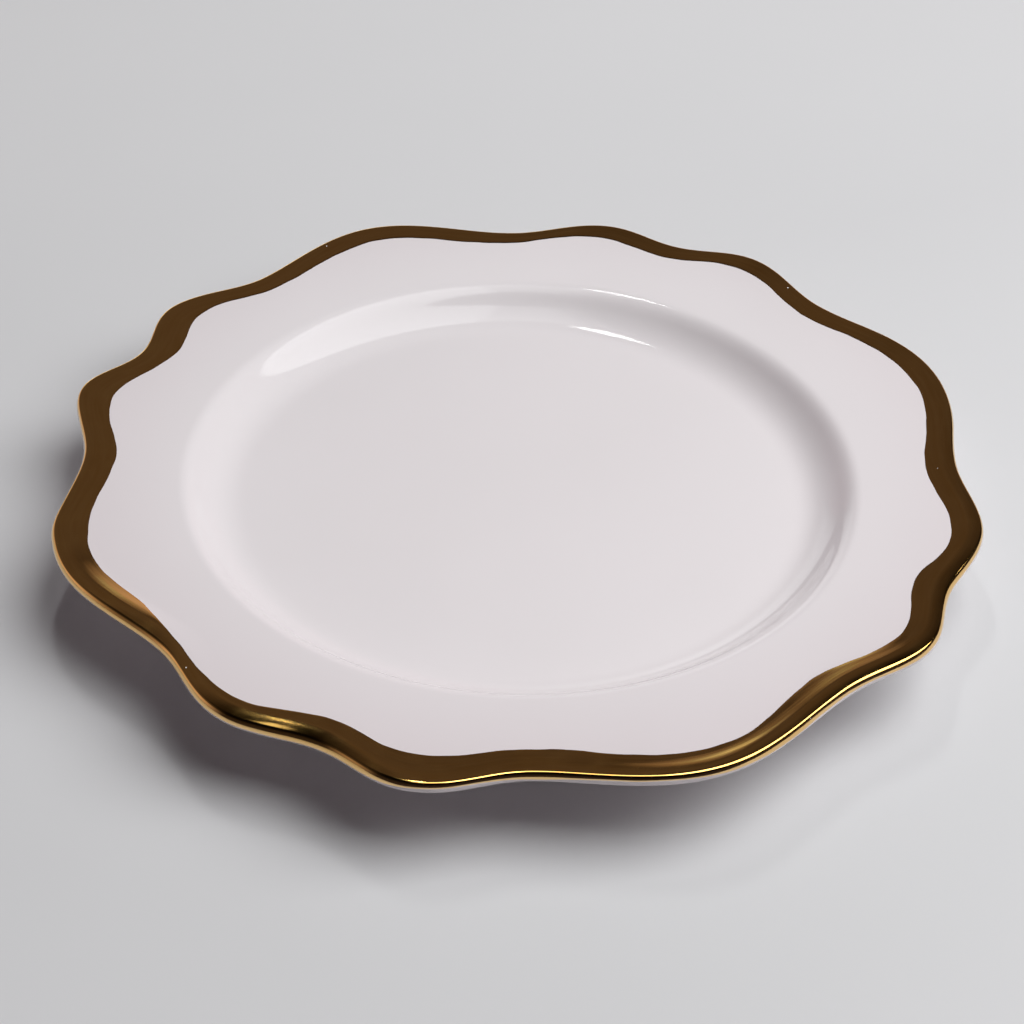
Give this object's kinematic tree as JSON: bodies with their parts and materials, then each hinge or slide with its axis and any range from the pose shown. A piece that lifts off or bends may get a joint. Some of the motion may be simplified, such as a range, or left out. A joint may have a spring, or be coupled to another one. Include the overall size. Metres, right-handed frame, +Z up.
{
  "type": "dessert plate",
  "caption": "White glazed porcelain dessert plate with a flat round well, a wide rim with a softly lobed edge, and a bright gold band painted round it.",
  "frame": {"origin": "middle of the foot ring's standing face, on the surface the plate stands on", "axes": "+Z up along the plate's axis, +X towards the crest of a wide lobe"},
  "size_m": [0.228, 0.228, 0.0226],
  "materials": {
    "bare_porcelain": "matt, bare fired clay",
    "white_glaze": "clear gloss glaze over white porcelain",
    "bright_gold": "mirror-bright fired gold, brushed on by hand"
  },
  "bodies": {
    "root": {"porcelain_body": "bare_porcelain", "glaze_coat": "white_glaze", "base_glaze": "white_glaze", "gold_rim_band": "bright_gold"}
  },
  "joints": []
}
